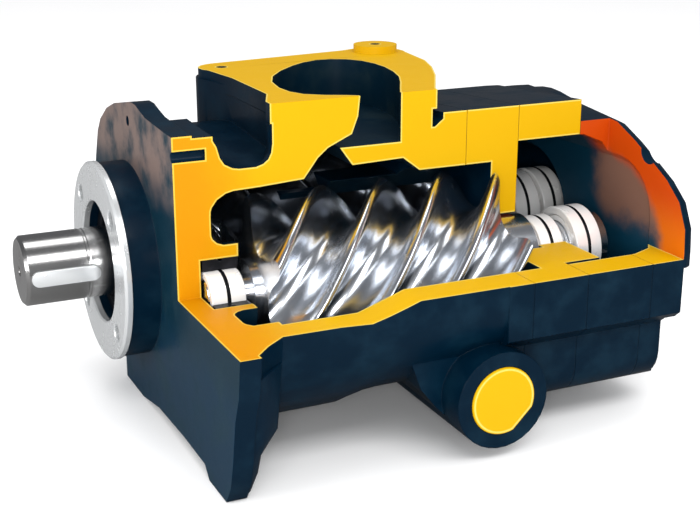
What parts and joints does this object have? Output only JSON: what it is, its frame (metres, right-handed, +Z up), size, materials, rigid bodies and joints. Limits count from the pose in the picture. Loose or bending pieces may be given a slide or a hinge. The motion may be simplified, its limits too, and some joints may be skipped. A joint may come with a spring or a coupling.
{
  "type": "rotary screw compressor air end, sectioned",
  "caption": "Sectioned rotary screw compressor air end with a glossy dark housing, yellow cut faces, bright meshing rotors, open bearing case and drive shaft.",
  "frame": {"origin": "centre of the footprint on the floor", "axes": "+X along the shafts from the drive end to the discharge end, +Y away from the open side, +Z up"},
  "size_m": [0.545, 0.3883, 0.285],
  "materials": {
    "body_paint": "gloss paint on cast iron; the cut faces are painted yellow",
    "section_paint": "satin yellow paint",
    "machined_steel": "machined",
    "polished_steel": "polished",
    "seal_black": "dark phosphated"
  },
  "bodies": {
    "housing": {"bearing_case": "body_paint", "discharge_end_plate": "body_paint", "discharge_port_blank": "section_paint", "end_cover": "body_paint", "female_discharge_bearing_1_outer": "polished_steel", "female_discharge_bearing_2_outer": "polished_steel", "female_drive_bearing_outer": "polished_steel", "male_discharge_bearing_1_outer": "polished_steel", "male_discharge_bearing_2_outer": "polished_steel", "male_drive_bearing_outer": "polished_steel", "nose_ring": "polished_steel", "rotor_housing": "body_paint", "seal_carrier": "seal_black"},
    "male_rotor_body": {"drive_key": "machined_steel", "male_discharge_bearing_1_inner": "polished_steel", "male_discharge_bearing_2_inner": "polished_steel", "male_drive_bearing_inner": "polished_steel", "male_lock_nut": "machined_steel", "male_rotor": "polished_steel", "seal_sleeve": "machined_steel"},
    "female_rotor_body": {"female_discharge_bearing_1_inner": "polished_steel", "female_discharge_bearing_2_inner": "polished_steel", "female_drive_bearing_inner": "polished_steel", "female_lock_nut": "machined_steel", "female_rotor": "polished_steel"}
  },
  "joints": [
    {"name": "male_spin", "type": "hinge", "parent": "housing", "child": "male_rotor_body", "pos_m": [-0.2125, 0.07325, 0.128], "axis": [1, 0, 0], "continuous": true},
    {"name": "female_spin", "type": "hinge", "parent": "housing", "child": "female_rotor_body", "pos_m": [-0.2125, -0.05475, 0.128], "axis": [1, 0, 0], "continuous": true}
  ],
  "couplings": [
    {"joint": "female_spin", "follows": "male_spin", "ratio": -0.66667}
  ]
}
